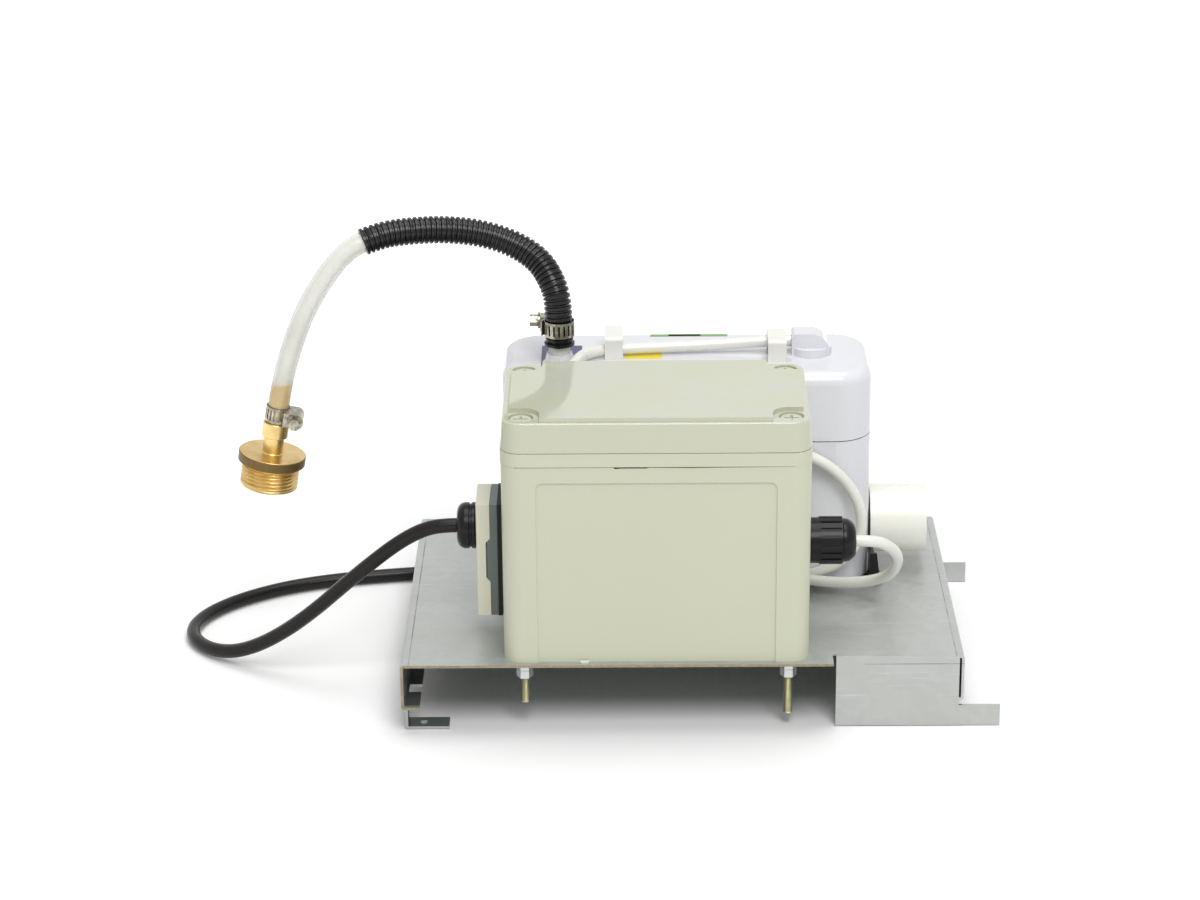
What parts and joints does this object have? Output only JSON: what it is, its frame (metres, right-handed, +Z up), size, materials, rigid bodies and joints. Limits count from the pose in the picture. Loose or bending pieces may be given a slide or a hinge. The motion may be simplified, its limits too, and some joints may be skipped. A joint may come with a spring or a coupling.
{
  "type": "condensate pump",
  "caption": "Condensate lift pump: sump case with inlet pipe and discharge hose beside a lidded junction box with supply lead, both on a folded sheet-metal tray.",
  "frame": {"origin": "on the floor, under the middle of the tray and its end tabs (cords left out)", "axes": "+X along the tray towards the inlet pipe, +Y from the junction box to the sump case, +Z up"},
  "size_m": [0.4735, 0.3244, 0.2643],
  "materials": {
    "galvanised_sheet": "spangled zinc with fine scratches",
    "white_zinc": "bright zinc plate",
    "yellow_zinc": "yellow passivated zinc plate",
    "box_plastic": "pale greenish grey moulding, satin sides and glossy lid",
    "screw_plastic": "pale grey moulding",
    "black_nylon": "satin black moulding",
    "black_rubber": "dull",
    "beige_plastic": "satin moulding",
    "slate_plastic": "satin dark grey moulding",
    "contact_brass": "bright",
    "black_cable": "semi-gloss cable jacket",
    "white_cable": "glossy cable jacket",
    "white_plastic": "glossy white moulding",
    "ivory_plastic": "glossy pipe",
    "clip_nylon": "natural nylon",
    "clamp_steel": "zinc plated strip",
    "black_conduit": "corrugated, semi-gloss",
    "clear_hose": "milky translucent",
    "fitting_brass": "turned, a little tarnished",
    "motor_steel": "grey lacquer",
    "stainless": "ground shaft",
    "grey_plastic": "moulded",
    "float_plastic": "closed-cell float",
    "terminal_plastic": "grey terminals"
  },
  "bodies": {
    "base": {"cable_clips": "clip_nylon", "cable_entry": "white_plastic", "check_valve_body": "grey_plastic", "control_relay": "slate_plastic", "cover_seal": "black_rubber", "din_rail": "white_zinc", "discharge_hose": "clear_hose", "discharge_riser": "grey_plastic", "discharge_sleeve": "black_conduit", "enclosure_base": "box_plastic", "float_stem": "grey_plastic", "gland_body": "black_nylon", "gland_grommet": "black_rubber", "gland_lock_nut": "black_nylon", "gland_nut": "black_nylon", "hose_clamp_band": "clamp_steel", "hose_fitting": "fitting_brass", "inlet_pipe": "ivory_plastic", "inlet_seal": "black_rubber", "motor_deck": "white_plastic", "motor_stator": "motor_steel", "mounting_studs": "yellow_zinc", "outlet_clamp_band": "clamp_steel", "outlet_spigot": "white_plastic", "pump_brackets": "black_nylon", "pump_cable": "white_cable", "pump_cover": "white_plastic", "pump_tank": "white_plastic", "rail_screws": "white_zinc", "socket_gasket": "black_rubber", "socket_pins": "contact_brass", "stem_clip": "clip_nylon", "stud_nuts": "white_zinc", "supply_socket": "slate_plastic", "terminal_blocks": "terminal_plastic", "tray": "galvanised_sheet", "volute": "grey_plastic"},
    "enclosure_lid": {"enclosure_lid": "box_plastic"},
    "lid_screw_front_left": {"lid_screw_front_left": "screw_plastic"},
    "lid_screw_front_right": {"lid_screw_front_right": "screw_plastic"},
    "lid_screw_back_left": {"lid_screw_back_left": "screw_plastic"},
    "lid_screw_back_right": {"lid_screw_back_right": "screw_plastic"},
    "supply_plug": {"supply_plug": "beige_plastic", "strain_relief": "black_nylon", "mains_lead": "black_cable", "mains_coil": "black_cable", "mains_tail": "black_cable", "mains_plug": "black_nylon"},
    "pump_rotor": {"rotor_core": "motor_steel", "pump_shaft": "stainless", "impeller": "grey_plastic"},
    "float": {"float": "float_plastic"},
    "check_valve_ball": {"check_valve_ball": "black_rubber"},
    "outlet_clamp_screw": {"outlet_clamp_screw": "clamp_steel"},
    "hose_clamp_screw": {"hose_clamp_screw": "clamp_steel"}
  },
  "joints": [
    {"name": "lid_lift", "type": "slide", "parent": "base", "child": "enclosure_lid", "axis": [0, 0, 1], "range_m": [0, 0.08]},
    {"name": "lid_screw_front_left_turn", "type": "hinge", "parent": "enclosure_lid", "child": "lid_screw_front_left", "pos_m": [-0.0977, -0.09505, 0.17], "axis": [0, 0, 1], "range_deg": [0, 90]},
    {"name": "lid_screw_front_right_turn", "type": "hinge", "parent": "enclosure_lid", "child": "lid_screw_front_right", "pos_m": [0.0483, -0.09505, 0.17], "axis": [0, 0, 1], "range_deg": [0, 90]},
    {"name": "lid_screw_back_left_turn", "type": "hinge", "parent": "enclosure_lid", "child": "lid_screw_back_left", "pos_m": [-0.0977, -0.01955, 0.17], "axis": [0, 0, 1], "range_deg": [0, 90]},
    {"name": "lid_screw_back_right_turn", "type": "hinge", "parent": "enclosure_lid", "child": "lid_screw_back_right", "pos_m": [0.0483, -0.01955, 0.17], "axis": [0, 0, 1], "range_deg": [0, 90]},
    {"name": "plug_pull", "type": "slide", "parent": "base", "child": "supply_plug", "axis": [-1, 0, 0], "range_m": [0, 0.025]},
    {"name": "rotor_spin", "type": "hinge", "parent": "base", "child": "pump_rotor", "pos_m": [-0.0147, 0.0415, 0.14], "axis": [0, 0, 1], "continuous": true},
    {"name": "float_rise", "type": "slide", "parent": "base", "child": "float", "axis": [0, 0, 1], "range_m": [0, 0.025]},
    {"name": "valve_ball_lift", "type": "slide", "parent": "base", "child": "check_valve_ball", "axis": [0, 0, 1], "range_m": [0, 0.004]},
    {"name": "outlet_clamp_screw_turn", "type": "hinge", "parent": "base", "child": "outlet_clamp_screw", "pos_m": [-0.0787, 0.0353, 0.1945], "axis": [-1, 0, 0], "continuous": true},
    {"name": "hose_clamp_screw_turn", "type": "hinge", "parent": "base", "child": "hose_clamp_screw", "pos_m": [-0.22987, 0.0145, 0.14479], "axis": [0, -1, 0], "continuous": true}
  ]
}
